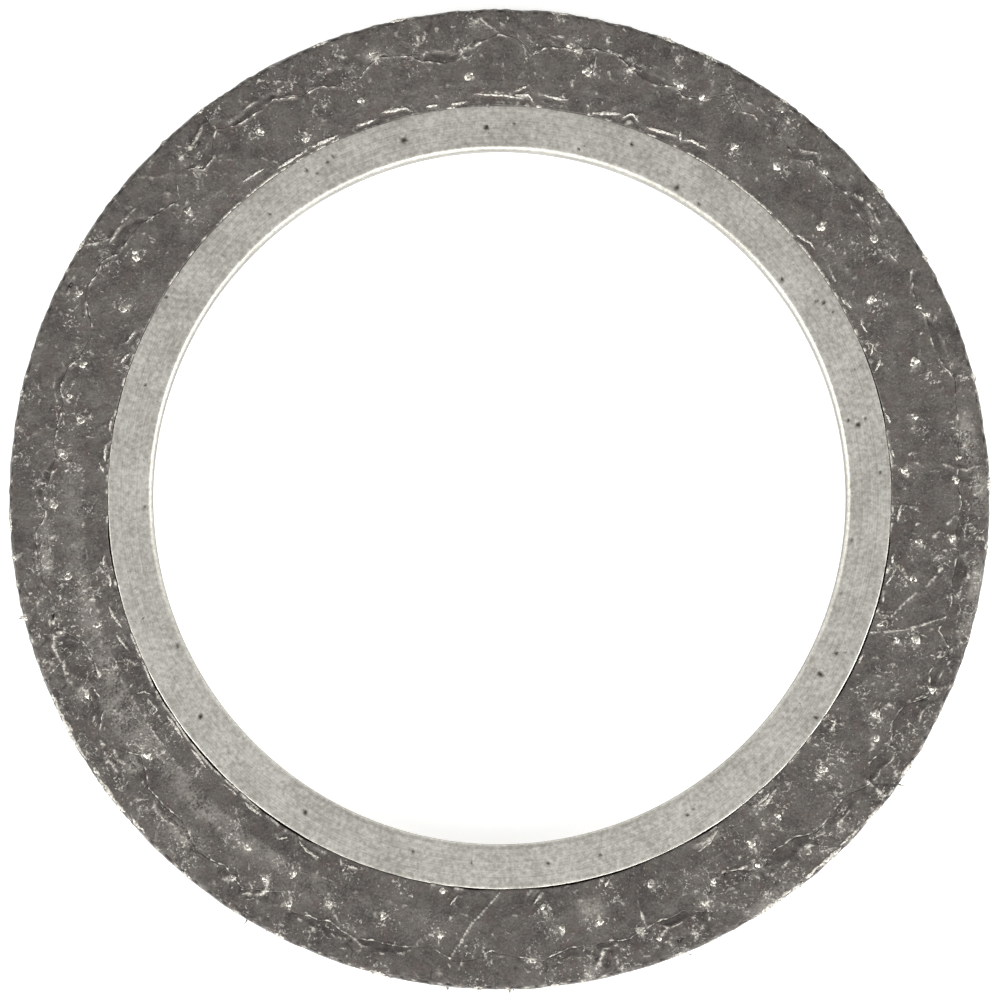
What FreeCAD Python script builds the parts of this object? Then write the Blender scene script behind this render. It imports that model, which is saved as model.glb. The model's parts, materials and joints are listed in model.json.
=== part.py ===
# Exhaust gas recirculation valve gasket: a flat pressed ring that is clamped between two pipe flanges.
# A thin sheet steel eyelet lines the bore, and its two flanges are rolled out over the faces of the ring.
# The ring itself is graphite foil and knitted steel wire, wound up together and pressed in a die.
# Its outermost turn folds over both faces and ends in a wandering, crumpled seam. Crests of the
# knitted wire lie bare in the band inside the seam, and round the rim.
# Millimetres, +Z up. The origin is on the bore's axis, half way through the thickness.

import FreeCAD
import Part

import math
import os

Vector = FreeCAD.Vector

# Steel eyelet
bore_diameter = 38.2
sheet_thickness = 0.2
bend_radius = 0.1  # inside of the bend between the wall and a flange
flange_width = 2.5  # from the bore to the flange's lip
lip_chamfer = 0.07

# Graphite ring
ring_thickness = 4.5
flange_sink = 0.25  # each of the eyelet's flanges lies this much below the ring's face
lip_gap = 0.05  # round the lip, where the graphite has not closed up to it
slope_width = 1.2  # the face rises from the flange to the stitch band
stitch_band_width = 2.2  # flat band, from the slope to the middle of the seam
rim_band_width = 1.95  # folded turn, from the middle of the seam to the rim
rim_edge_radius = 0.25
fold_height = 0.12  # the folded turn stands this much above the stitch band

# Seam of the folded turn: waves round the ring, how far each swings in and out, and its start in radians
seam_waves = ((7, 0.14, 0.4), (19, 0.24, 2.1), (41, 0.22, 4.0))
seam_crease_pitch = 1.3  # from one corner of the crumpled edge to the next

# Bare crests of the knitted wire: two flattened legs that meet in a V
wire_width = 0.2
wire_depth = 0.15  # below the graphite's surface
wire_stand = 0.04  # above it
leg_length = 0.7
leg_splay = 38.0  # degrees between each leg and the middle of the V
stitch_turn = 40.0  # pressing turns each stitch by up to this many degrees
rim_stitch_pitch = 6.0
rim_stitch_sway = 0.3  # and pushes those on the rim up or down by up to this

# Where pressing has left the stitches on the upper side: degrees round the ring, and how far each lies
# outwards from the middle of the stitch band
face_stitch_places = (
    (11, -0.4), (18, 0.4), (28, -0.4), (40, -0.3), (50, 0.2), (56, -0.4), (78, 0.4), (94, -0.3), (109, -0.4),
    (123, 0.5), (137, -0.4), (146, 0.4), (153, -0.4), (162, 0.4), (169, -0.2), (174, 0.5), (190, 0.5), (197, -0.4),
    (216, 0.3), (234, 0), (241, -0.1), (247, 0.5), (254, 0.2), (262, 0.5), (278, 0.3), (283, 0.2), (299, 0.5),
    (306, -0.1), (311, -0.4), (320, -0.4), (330, 0.2), (341, 0.5), (349, -0.4), (354, -0.4),
)

underside_turn = 57.0  # degrees that the underside's pattern is turned from the upper side's

# Bends and rounded edges are worked as narrow flats
outside_bend_count = 3
inside_bend_count = 1
rim_edge_count = 2

# Worked out from the sizes above
bore_radius = bore_diameter / 2
wall_radius = bore_radius + sheet_thickness
lip_radius = bore_radius + flange_width
slope_start_radius = lip_radius + lip_gap
stitch_band_start = slope_start_radius + slope_width
seam_radius = stitch_band_start + stitch_band_width
rim_radius = seam_radius + rim_band_width
seam_swing = sum(swing for count, swing, start in seam_waves)
stitch_band_middle = (stitch_band_start + seam_radius - seam_swing) / 2

face_top = ring_thickness / 2
flange_top = face_top - flange_sink
flange_seat = flange_top - sheet_thickness
stitch_band_top = face_top - fold_height
bend_centre = (wall_radius + bend_radius, flange_seat - bend_radius)

origin = Vector(0, 0, 0)
x_axis = Vector(1, 0, 0)
y_axis = Vector(0, 1, 0)
z_axis = Vector(0, 0, 1)
golden_share = (math.sqrt(5) - 1) / 2
silver_share = math.sqrt(2) - 1


def rounded(centre, radius, first, last, flats):
    """(radius, height) points on an arc of the section, from the first angle to the last, in degrees."""
    points = []
    for step in range(flats + 1):
        angle = math.radians(first + (last - first) * step / flats)
        points.append((centre[0] + radius * math.cos(angle), centre[1] + radius * math.sin(angle)))
    return points


def revolved(upper_points):
    """Solid of revolution about the bore's axis, from the upper half of a section that is alike on both faces."""
    lower_points = [(radius, -height) for radius, height in reversed(upper_points)]
    corners = [Vector(radius, 0, height) for radius, height in upper_points + lower_points]
    section = Part.Face(Part.makePolygon(corners + corners[:1]))
    return section.revolve(origin, z_axis, 360)


def on_underside(shape):
    """The upper side's shape, mirrored to the underside and turned, so that the two differ."""
    lower = shape.mirror(origin, z_axis)
    lower.rotate(origin, z_axis, underside_turn)
    return lower


def steel_eyelet():
    """Folded sheet: a straight wall with a flange rolled outwards at each end."""
    outside_bend = rounded(bend_centre, bend_radius + sheet_thickness, 180, 90, outside_bend_count)
    inside_bend = rounded(bend_centre, bend_radius, 90, 180, inside_bend_count)
    lip = [
        (lip_radius - lip_chamfer, flange_top),
        (lip_radius, flange_top - lip_chamfer),
        (lip_radius, flange_seat),
    ]
    return revolved(outside_bend + lip + inside_bend)


def crumpled_seam():
    """Closed outline of the folded turn's edge, at the level of the stitch band."""
    count = round(2 * math.pi * seam_radius / seam_crease_pitch)
    corners = []
    for number in range(count):
        angle = 2 * math.pi * number / count
        radius = seam_radius + sum(swing * math.sin(waves * angle + start) for waves, swing, start in seam_waves)
        corners.append(Vector(radius * math.cos(angle), radius * math.sin(angle), stitch_band_top))
    return Part.makePolygon(corners + corners[:1])


def graphite_ring(stitches):
    """Pressed ring: seats for the eyelet's flanges, sloped shoulders, sunk stitch bands and the folded turn."""
    corner_under_bend = rounded(bend_centre, bend_radius, 180, 90, inside_bend_count)
    shoulder = [
        (slope_start_radius, flange_seat),
        (slope_start_radius, flange_top),
        (stitch_band_start, stitch_band_top),
        (stitch_band_start, face_top),
    ]
    rim_edge_centre = (rim_radius - rim_edge_radius, face_top - rim_edge_radius)
    rim_edge = rounded(rim_edge_centre, rim_edge_radius, 90, 0, rim_edge_count)
    ring = revolved(corner_under_bend + shoulder + rim_edge)
    sunk_band = Part.Face(crumpled_seam()).extrude(z_axis * (2 * fold_height))
    return ring.cut([sunk_band, on_underside(sunk_band)] + stitches)


def scatter(number, share):
    """A repeatable value from -1 to 1 for each number, evenly spread."""
    return 2 * (number * share % 1) - 1


def stitch_blank(number):
    """Flattened V of wire at the origin, turned its own way. The graphite's surface is at height 0."""
    splay = math.radians(leg_splay)
    bend = x_axis * (leg_length * math.cos(splay) / 2)
    leg = Vector(-math.cos(splay), math.sin(splay), 0) * leg_length
    half_width = Vector(math.sin(splay), math.cos(splay), 0) * (wire_width / 2)
    mitre = x_axis * (wire_width / 2 / math.sin(splay))
    outside_tip = bend + leg + half_width
    inside_tip = bend + leg - half_width
    other_tips = [Vector(tip.x, -tip.y, 0) for tip in (inside_tip, outside_tip)]
    corners = [bend + mitre, outside_tip, inside_tip, bend - mitre] + other_tips
    blank = Part.Face(Part.makePolygon(corners + corners[:1])).extrude(z_axis * (wire_depth + wire_stand))
    blank.translate(z_axis * -wire_depth)
    blank.rotate(origin, z_axis, stitch_turn * scatter(number, golden_share))
    return blank


def face_stitches():
    """Stitches of the upper side, in its stitch band. Each V points round the ring."""
    stitches = []
    for number, (degrees, offset) in enumerate(face_stitch_places):
        stitch = stitch_blank(number)
        stitch.rotate(origin, z_axis, 90)
        stitch.translate(Vector(stitch_band_middle + offset, 0, stitch_band_top))
        stitch.rotate(origin, z_axis, degrees)
        stitches.append(stitch)
    return stitches


def rim_stitches():
    """Stitches on the rim, near the middle of the thickness. Each V points up or down."""
    count = round(2 * math.pi * rim_radius / rim_stitch_pitch)
    stitches = []
    for number in range(count):
        stitch = stitch_blank(number)
        stitch.rotate(origin, y_axis, 90)
        stitch.translate(Vector(rim_radius, 0, rim_stitch_sway * scatter(number, silver_share)))
        stitch.rotate(origin, z_axis, 360 * number / count)
        stitches.append(stitch)
    return stitches


def build():
    upper_stitches = face_stitches()
    lower_stitches = [on_underside(stitch) for stitch in upper_stitches]
    stitches = upper_stitches + lower_stitches + rim_stitches()
    return {
        "steel_eyelet": steel_eyelet(),
        "graphite_ring": graphite_ring(stitches),
        "knitted_wire": Part.makeCompound(stitches),
    }


os.makedirs("parts", exist_ok=True)
for name, shape in build().items():
    shape.exportStep(os.path.join("parts", name + ".step"))
    print(name, "solids", len(shape.Solids), "valid", shape.isValid(), "volume", round(shape.Volume, 2))
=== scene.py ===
import json
import math

import bpy
import numpy as np
from mathutils import Matrix, Vector, noise


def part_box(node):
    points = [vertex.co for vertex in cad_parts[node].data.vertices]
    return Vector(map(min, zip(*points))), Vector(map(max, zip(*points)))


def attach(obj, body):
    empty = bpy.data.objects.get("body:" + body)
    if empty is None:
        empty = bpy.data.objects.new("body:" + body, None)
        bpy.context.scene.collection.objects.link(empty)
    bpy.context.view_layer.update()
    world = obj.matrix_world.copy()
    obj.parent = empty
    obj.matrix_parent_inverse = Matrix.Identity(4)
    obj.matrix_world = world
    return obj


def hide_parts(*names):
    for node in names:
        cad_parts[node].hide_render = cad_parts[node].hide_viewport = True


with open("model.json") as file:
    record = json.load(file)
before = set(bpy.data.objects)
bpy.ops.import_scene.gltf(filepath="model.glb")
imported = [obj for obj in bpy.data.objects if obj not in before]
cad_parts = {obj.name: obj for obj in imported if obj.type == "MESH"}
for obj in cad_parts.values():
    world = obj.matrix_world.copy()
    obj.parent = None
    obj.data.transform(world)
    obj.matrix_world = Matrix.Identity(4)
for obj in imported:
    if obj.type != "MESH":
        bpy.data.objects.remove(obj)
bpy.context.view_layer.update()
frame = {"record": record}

mm = 0.001
photoPixel = 0.05505  # mm on the ring's upper face for one pixel of the photograph
dice = np.random.default_rng(54)  # one seed for everything that chance places

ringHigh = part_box("graphite_ring")[1]
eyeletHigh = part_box("steel_eyelet")[1]
boreMount = next(mount for mount in frame["record"]["mounts"] if mount["name"] == "bore")
rimRadius = ringHigh[0] / mm
faceTop = ringHigh[2] / mm
lipRadius = eyeletHigh[0] / mm
flangeTop = eyeletHigh[2] / mm
boreRadius = boreMount["dims"]["r_mm"]
goldenShare = (math.sqrt(5) - 1) / 2
silverShare = math.sqrt(2) - 1
print("frame loaded: rim", round(rimRadius, 3), "lip", round(lipRadius, 3), "bore", boreRadius)


# Shared helpers for shapes

def smoothStep(value, low, high):  # 0 below low, 1 above high, easing in between
    share = np.clip((value - low) / (high - low), 0, 1)
    return share * share * (3 - 2 * share)


def hump(distance, width):  # 1 in the middle, falling to 0 at about twice the width
    return np.exp(-(distance / width) ** 2)


def turnFrom(angles, degrees):  # how far round the ring from a direction: -180 to 180 degrees
    return (np.degrees(angles) - degrees + 180) % 360 - 180


def pointsOf(angles, radius, height):
    return np.stack([radius * np.cos(angles), radius * np.sin(angles), height], -1).reshape(-1, 3)


def softNoise(angles, radius, height, grain, seed):  # about -1 to 1, with lumps of the grain's size in mm
    points = pointsOf(angles, radius, height) / grain + seed * np.array([1.7, 3.1, 5.3])
    return np.array([noise.noise(Vector(point)) for point in points]).reshape(radius.shape)


def faceNoise(angles, radius, grain, seed):  # the same, on the plane of a face
    around = angles + 0 * radius
    return softNoise(around, radius + 0 * around, 0 * around, grain, seed)


def creaseNoise(angles, radius, height, grain, seed):  # 1 along the folds of crumpled foil, 0 between them
    points = pointsOf(angles, radius, height) / grain + seed * np.array([2.9, 1.3, 4.7])
    gaps = [noise.voronoi(Vector(point))[0] for point in points]
    return np.array([max(0.0, 1 - 5 * (gap[1] - gap[0])) for gap in gaps]).reshape(radius.shape)


def blurred(height, reach):  # mean over a window of rows and columns
    total = np.zeros_like(height)
    for shift in range(-reach, reach + 1):
        total += np.roll(height, shift, axis=1)
    total /= 2 * reach + 1
    padded = np.pad(total, ((2, 2), (0, 0)), mode="edge")
    return sum(padded[shift:shift + len(height)] for shift in range(5)) / 5


def addPiece(name, points, faces, material, marks={}):  # points in mm
    mesh = bpy.data.meshes.new(name)
    mesh.from_pydata((points * mm).tolist(), [], faces)
    mesh.shade_smooth()
    for mark, values in marks.items():
        attribute = mesh.attributes.new(mark, "FLOAT", "POINT")
        attribute.data.foreach_set("value", np.asarray(values, dtype=np.float32).ravel())
    mesh.materials.append(material)
    piece = bpy.data.objects.new(name, mesh)
    bpy.context.scene.collection.objects.link(piece)
    return piece


def addRing(name, angles, radius, height, material, marks):  # a closed ring: one row for each line round it
    rows, columns = radius.shape
    row, column = np.meshgrid(np.arange(rows), np.arange(columns), indexing="ij")
    nextRow, nextColumn = (row + 1) % rows, (column + 1) % columns
    corners = [row * columns + column, nextRow * columns + column,
               nextRow * columns + nextColumn, row * columns + nextColumn]
    faces = np.stack(corners, -1).reshape(-1, 4).tolist()
    return addPiece(name, pointsOf(angles + 0 * radius, radius, height), faces, material, marks)


# Shared helpers for materials

def linear(hexColour):  # an sRGB hex colour as linear red, green, blue and alpha
    channels = [int(hexColour[start:start + 2], 16) / 255 for start in (1, 3, 5)]
    return [c / 12.92 if c <= 0.04045 else ((c + 0.055) / 1.055) ** 2.4 for c in channels] + [1.0]


def addNode(tree, kind, settings={}, inputs={}):  # an input's value may be a socket to link from
    node = tree.nodes.new(kind)
    for name, value in settings.items():
        setattr(node, name, value)
    for name, value in inputs.items():
        if isinstance(value, bpy.types.NodeSocket):
            tree.links.new(value, node.inputs[name])
        else:
            node.inputs[name].default_value = value
    return node


def newMaterial(name):
    material = bpy.data.materials.new(name)
    material.use_nodes = True
    material.node_tree.nodes.clear()
    return material, material.node_tree


def cloudy(tree, place, size, detail, roughness=0.5):  # soft noise, with lumps of the size in mm
    settings = {"Vector": place, "Scale": 1 / (size * mm), "Detail": detail, "Roughness": roughness}
    return addNode(tree, "ShaderNodeTexNoise", {}, settings).outputs["Fac"]


def ranged(tree, value, low, high, toLow=0, toHigh=1):
    settings = {"Value": value, "From Min": low, "From Max": high, "To Min": toLow, "To Max": toHigh}
    return addNode(tree, "ShaderNodeMapRange", {}, settings).outputs[0]


def reckoned(tree, operation, *values):
    return addNode(tree, "ShaderNodeMath", {"operation": operation}, dict(enumerate(values))).outputs[0]


def blended(tree, share, first, second):  # of two colours
    settings = {0: share, 6: first, 7: second}
    return addNode(tree, "ShaderNodeMix", {"data_type": "RGBA"}, settings).outputs[2]


def markOn(tree, name):  # what the mesh says at each point
    return addNode(tree, "ShaderNodeAttribute", {"attribute_name": name}).outputs["Fac"]


def finishWith(tree, colour, metallic, roughness, relief, strength, depth):  # depth of the bumps in mm
    settings = {"Height": relief, "Strength": strength, "Distance": depth * mm}
    bump = addNode(tree, "ShaderNodeBump", {}, settings)
    settings = {"Base Color": colour, "Metallic": metallic, "Roughness": roughness,
                "Normal": bump.outputs[0]}
    shader = addNode(tree, "ShaderNodeBsdfPrincipled", {}, settings)
    addNode(tree, "ShaderNodeOutputMaterial", {}, {"Surface": shader.outputs[0]})


# Materials

def rolledStainlessSheet():
    # Stainless steel sheet, rolled to shape and pressed: matte pewter grey, with faint lines round it,
    # a fine mottle from the die and small dark pits; painted shade darkens the bore wall, and a painted
    # highlight lies along parts of the flange's lip.
    look = {
        "pale": "#d0cec6", "dull": "#a6a39b", "pitColour": "#38342d", "polished": "#f6f4ec",
        "roughness": 0.42, "mottleSize": 0.24, "cloudSize": 2.6, "lineSpacing": 0.11, "grainSize": 0.07,
        "speckSize": 0.13, "cloudShare": 0.45, "lineShare": 0.3, "toneRange": (0.69, 1.06),
        "speckRange": (0.7, 0.8), "speckDepth": 0.55, "bump": (0.35, 0.01),
    }
    material, tree = newMaterial("rolledStainlessSheet")
    place = addNode(tree, "ShaderNodeTexCoord").outputs["Object"]
    flat = addNode(tree, "ShaderNodeVectorMath", {"operation": "MULTIPLY"}, {0: place, 1: (1, 1, 0)})
    reach = addNode(tree, "ShaderNodeVectorMath", {"operation": "LENGTH"}, {0: flat.outputs[0]})
    lines = addNode(tree, "ShaderNodeTexNoise", {"noise_dimensions": "1D"},
                    {"W": reach.outputs["Value"], "Scale": 1 / (look["lineSpacing"] * mm), "Detail": 2})
    mottle = cloudy(tree, place, look["mottleSize"], 4, 0.7)
    clouds = cloudy(tree, place, look["cloudSize"], 3)
    patchy = reckoned(tree, "MULTIPLY_ADD", clouds, look["cloudShare"], mottle)
    lined = reckoned(tree, "MULTIPLY_ADD", lines.outputs["Fac"], look["lineShare"], patchy)
    tone = ranged(tree, lined, *look["toneRange"])
    specks = cloudy(tree, place, look["speckSize"], 1)
    speck = ranged(tree, specks, *look["speckRange"], 0, look["speckDepth"])
    colour = blended(tree, tone, linear(look["dull"]), linear(look["pale"]))
    # the pit mark darkens the real pits on the flange, and is painted shade on the bore wall
    colour = blended(tree, markOn(tree, "pit"), colour, linear(look["pitColour"]))
    colour = blended(tree, speck, colour, linear(look["pitColour"]))
    # painted highlight along parts of the flange's lip
    colour = blended(tree, markOn(tree, "shine"), colour, linear(look["polished"]))
    rough = ranged(tree, mottle, 0, 1, look["roughness"] - 0.07, look["roughness"] + 0.1)
    relief = reckoned(tree, "ADD", cloudy(tree, place, look["grainSize"], 2), lined)
    finishWith(tree, colour, 1.0, rough, relief, *look["bump"])
    return material


def pressedGraphiteFoil():
    # Graphite foil pressed in a die: dark warm grey with a dull metallic sheen, with painted black shade in
    # its cracks and hollows, pale on its high spots (burnished, and partly painted highlight), pale on
    # rubbed places (partly real rubbing, partly painted highlight), and with painted glints as pale specks
    # and as fine pale creases where it has frayed.
    look = {
        "foil": "#67635e", "dark": "#393533", "brown": "#554a45", "haze": "#8f8b84", "crack": "#191614",
        "burnished": "#d6d2c8", "roughness": 0.42, "metallic": 0.45, "cloudSize": 1.5, "hueSize": 1.1,
        "grainSize": 0.14, "speckSize": 0.11, "grainShare": 0.8, "toneRange": (0.68, 1.12),
        "brownRange": (0.5, 0.68), "brownDepth": 0.6, "crackRange": (-0.2, -1.0), "raisedRange": (0.25, 1.0),
        "wornRange": (0.35, 0.6), "speckRange": (0.72, 0.85), "hazeRange": (0.75, 1.1),
        "creaseSize": 0.42, "creaseWidth": 0.03, "creasePaleness": 0.6, "warpSize": 0.4, "warp": 0.6,
        "breakSize": 0.16, "frayShare": 0.18, "openRange": (0.65, 0.8), "bump": (0.8, 0.05),
    }
    material, tree = newMaterial("pressedGraphiteFoil")
    place = addNode(tree, "ShaderNodeTexCoord").outputs["Object"]
    clouds = cloudy(tree, place, look["cloudSize"], 5, 0.72)
    hues = cloudy(tree, place, look["hueSize"], 4, 0.7)
    grain = cloudy(tree, place, look["grainSize"], 3, 0.7)
    tone = reckoned(tree, "MULTIPLY_ADD", grain, look["grainShare"], clouds)
    form = markOn(tree, "form")
    rubbedAndHighlit = reckoned(tree, "MULTIPLY", ranged(tree, form, *look["raisedRange"]),
                      ranged(tree, grain, *look["wornRange"]))
    warp = addNode(tree, "ShaderNodeTexNoise", {},
                   {"Vector": place, "Scale": 1 / (look["warpSize"] * mm), "Detail": 2})
    bent = addNode(tree, "ShaderNodeVectorMath", {"operation": "MULTIPLY_ADD"},
                   {0: warp.outputs["Color"], 1: [look["warp"] * mm] * 3, 2: place})
    cells = addNode(tree, "ShaderNodeTexVoronoi", {"feature": "DISTANCE_TO_EDGE"},
                    {"Vector": bent.outputs[0], "Scale": 1 / (look["creaseSize"] * mm)})
    width = look["creaseWidth"] / look["creaseSize"]
    line = ranged(tree, cells.outputs["Distance"], width, 0.3 * width)
    loose = reckoned(tree, "MULTIPLY_ADD", markOn(tree, "fray"), look["frayShare"],
                     cloudy(tree, place, look["breakSize"], 2, 0.6))
    gaping = ranged(tree, loose, *look["openRange"], 0, look["creasePaleness"])
    crease = reckoned(tree, "MULTIPLY", line, gaping)
    speck = ranged(tree, cloudy(tree, place, look["speckSize"], 2), *look["speckRange"])
    # painted glints: pale crease edges and pale specks
    paintedGlints = reckoned(tree, "MAXIMUM", crease, speck)
    rubbingAndHighlight = reckoned(tree, "MULTIPLY", markOn(tree, "scuff"), ranged(tree, tone, *look["hazeRange"]))
    toned = ranged(tree, tone, *look["toneRange"])
    browned = ranged(tree, hues, *look["brownRange"], 0, look["brownDepth"])
    colour = blended(tree, toned, linear(look["dark"]), linear(look["foil"]))
    colour = blended(tree, browned, colour, linear(look["brown"]))
    # painted shade: near black where the form mark is low, in cracks, hollows and beside raised edges
    colour = blended(tree, ranged(tree, form, *look["crackRange"]), colour, linear(look["crack"]))
    # pale rubbed places: partly real rubbing, partly painted highlight on facets facing the light
    colour = blended(tree, rubbingAndHighlight, colour, linear(look["haze"]))
    # pale high spots: partly burnished, partly painted highlight; the painted glints take the same colour
    colour = blended(tree, reckoned(tree, "MAXIMUM", rubbedAndHighlit, paintedGlints), colour, linear(look["burnished"]))
    rough = ranged(tree, tone, 0.5, 1.3, look["roughness"] + 0.1, look["roughness"] - 0.1)
    relief = reckoned(tree, "MULTIPLY_ADD", paintedGlints, 0.6, tone)
    finishWith(tree, colour, look["metallic"], rough, relief, *look["bump"])
    return material


def wornStainlessWire():
    # Drawn stainless wire, flattened and polished where the die met it: bright, with graphite in its
    # scratches.
    look = {
        "bright": "#e9e5da", "dusty": "#8d8982", "roughness": 0.3, "dustSize": 0.18,
        "dustRange": (0.42, 0.62), "bump": (0.6, 0.03),
    }
    material, tree = newMaterial("wornStainlessWire")
    place = addNode(tree, "ShaderNodeTexCoord").outputs["Object"]
    dust = cloudy(tree, place, look["dustSize"], 3, 0.7)
    clean = ranged(tree, dust, *look["dustRange"])
    colour = blended(tree, clean, linear(look["dusty"]), linear(look["bright"]))
    finishWith(tree, colour, 1.0, look["roughness"], dust, *look["bump"])
    return material


stainlessSheet = rolledStainlessSheet()
graphiteFoil = pressedGraphiteFoil()
stainlessWire = wornStainlessWire()
print("materials made")


# Places read off the photograph, as degrees round the ring and photograph pixels from its middle

seam = {
    # The crumpled edge of the folded outer turn on the upper face
    "route": (
        (0, 462), (3, 459), (5, 461), (8, 465), (12, 468), (15, 471), (17.5, 463), (19, 460), (22, 463),
        (23.5, 466), (24.5, 461), (26, 463), (28.3, 470), (30, 466), (33, 462), (36, 460), (39, 460),
        (41.5, 464), (43, 461), (46, 461), (47.3, 464), (49, 452), (52, 460), (55, 458), (56.5, 462),
        (58, 457), (60, 467), (61.5, 460), (63, 449), (65.5, 444), (67, 451), (69, 446), (71, 444),
        (73, 450), (75, 460), (78, 462), (80, 457), (84, 455), (85.7, 448), (88, 461), (90, 466), (92, 459),
        (94, 450), (96, 440), (98, 442), (100, 446), (101.3, 454), (105.5, 458), (107.5, 450), (108.5, 443),
        (111, 443), (113.5, 452), (116.5, 451), (119.5, 460), (122, 457), (125, 457), (127.5, 466),
        (129, 455), (130, 445), (132, 444), (133, 455), (135, 459), (137, 440), (140, 447), (143, 454),
        (147.3, 454), (149, 463), (152, 463), (154.5, 460), (156, 449), (158, 440), (161, 444),
        (162.5, 450), (166, 454), (167.5, 447), (171, 448), (173, 450), (174.5, 447), (177.5, 451),
        (180, 456), (182, 453), (184, 465), (188, 467), (191, 461), (194, 458), (195.5, 464), (197, 455),
        (199, 440), (201.5, 436), (203.5, 439), (205, 448), (208, 449), (210.5, 465), (213, 458),
        (215.6, 442), (217.5, 447), (219.5, 457), (222.5, 453), (226, 452), (229.5, 465), (233, 459),
        (236.5, 467), (239, 458), (241, 452), (243, 462), (248, 456), (251.5, 463), (254, 459), (258, 459),
        (261, 454), (264.5, 464), (267, 463), (269, 453), (272, 460), (275.5, 463), (279, 456), (283, 454),
        (286.5, 459), (290.5, 452), (294, 451), (296.3, 461), (298, 445), (300, 435), (303, 441),
        (305, 452), (308, 447), (311, 449), (313.5, 461), (316, 458), (320, 457), (322.5, 467),
        (324.5, 456), (328, 462), (330.5, 453), (333, 454), (335.6, 474), (338, 465), (341.7, 475),
        (343.3, 459), (347, 465), (350, 459), (353, 462), (356, 458),
    ),
    # Sunk lenses in the folded turn, along its edge, with painted shade in them: first and last degree, and
    # the width in pixels
    "lenses": (
        (17, 23, 9), (36, 41.5, 9), (46, 51, 8), (68, 74, 9), (83, 88, 9), (95, 100, 10), (108.5, 114, 17),
        (118, 126, 8), (129.5, 133, 14), (141.5, 148, 12), (163, 170, 7), (175, 181, 9), (197, 204, 29),
        (204.5, 209.5, 10), (213, 218.5, 12), (221, 227, 9), (244, 251, 8), (252, 259, 8), (276, 285, 9),
        (290.5, 295.5, 8), (299, 304, 14), (306, 313, 15), (315, 322, 12), (323, 328, 12), (329, 335, 20),
        (336, 341.5, 10), (348, 353, 13), (354, 360, 9),
    ),
    "middle": 25,  # mm, the seam's mean radius
    "ripple": 0.09, "rippleGrains": (1.6, 0.7, 0.35, 0.16),
    "dip": 0.10,  # mm that a lens is sunk
    "edgeDip": 0.045,  # mm that the rest of the edge is pressed down
    "undersideLobes": 46,
}

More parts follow.
